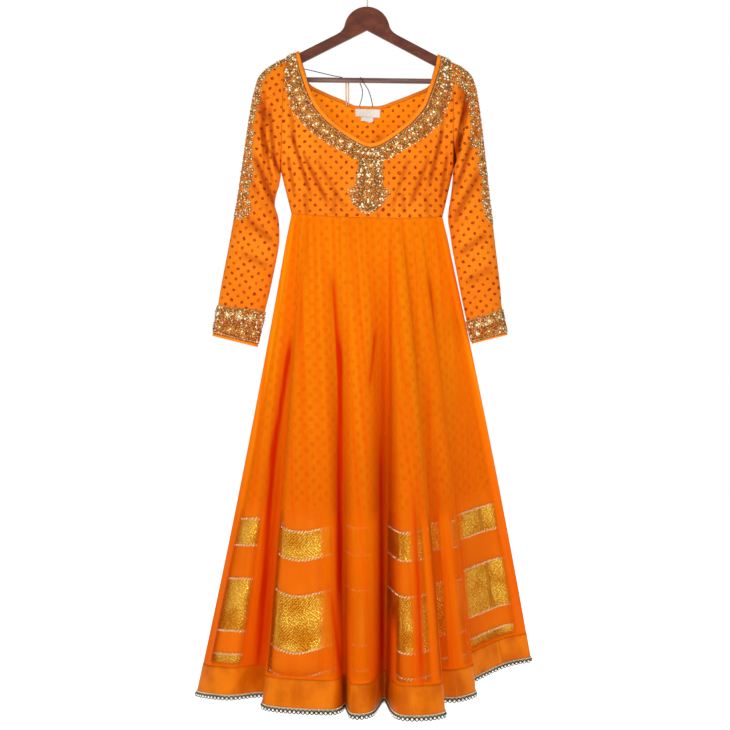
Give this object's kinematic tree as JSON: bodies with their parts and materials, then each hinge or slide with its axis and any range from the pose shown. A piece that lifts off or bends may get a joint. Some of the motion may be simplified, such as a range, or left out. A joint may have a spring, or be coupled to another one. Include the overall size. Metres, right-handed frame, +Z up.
{
  "type": "anarkali gown on a clothes hanger",
  "caption": "Floor-length anarkali gown with long sleeves, embroidered neckline and flared net skirt, hanging on a wooden clothes hanger with a wire hook.",
  "frame": {"origin": "the inside top of the hanger's hook, where a rail carries it", "axes": "+Z up, the gown's front faces -Y, and the sleeve named left is at -X, on the left when the front is looked at"},
  "size_m": [0.7287, 0.4682, 1.5363],
  "materials": {
    "dark_wood": "dark stained and lacquered",
    "bar_wood": "stained, satin",
    "steel_wire": "polished wire",
    "dotted_cloth": "matte weave with small dots",
    "plain_orange": "matte weave",
    "embroidery": "thread, sequins and small stones",
    "white_label": "woven, blank",
    "gold_brocade": "metallic weave",
    "orange_net": "soft sheer net",
    "satin": "soft satin",
    "pearl_trim": "braid of small beads",
    "tape": "narrow satin tape",
    "thread": "thin cotton"
  },
  "bodies": {
    "root": {"hanger_yoke": "dark_wood", "hanger_bar": "bar_wood", "hanger_hook": "steel_wire", "bodice_front": "dotted_cloth", "bodice_back": "dotted_cloth", "sleeve_left": "dotted_cloth", "sleeve_right": "dotted_cloth", "skirt_lining": "dotted_cloth", "neck_binding": "plain_orange", "back_neck_band": "plain_orange", "cuff_binding_left": "plain_orange", "cuff_binding_right": "plain_orange", "neck_border": "embroidery", "front_tab": "embroidery", "cuff_left": "embroidery", "cuff_right": "embroidery", "label": "white_label", "size_tag": "white_label", "lining_band_upper": "gold_brocade", "lining_band_wide": "gold_brocade", "lining_band_hem": "gold_brocade", "skirt_net": "orange_net", "hem_band": "satin", "hem_trim": "pearl_trim", "hanging_loop": "tape", "thread_left": "thread", "thread_back": "thread"}
  },
  "joints": []
}
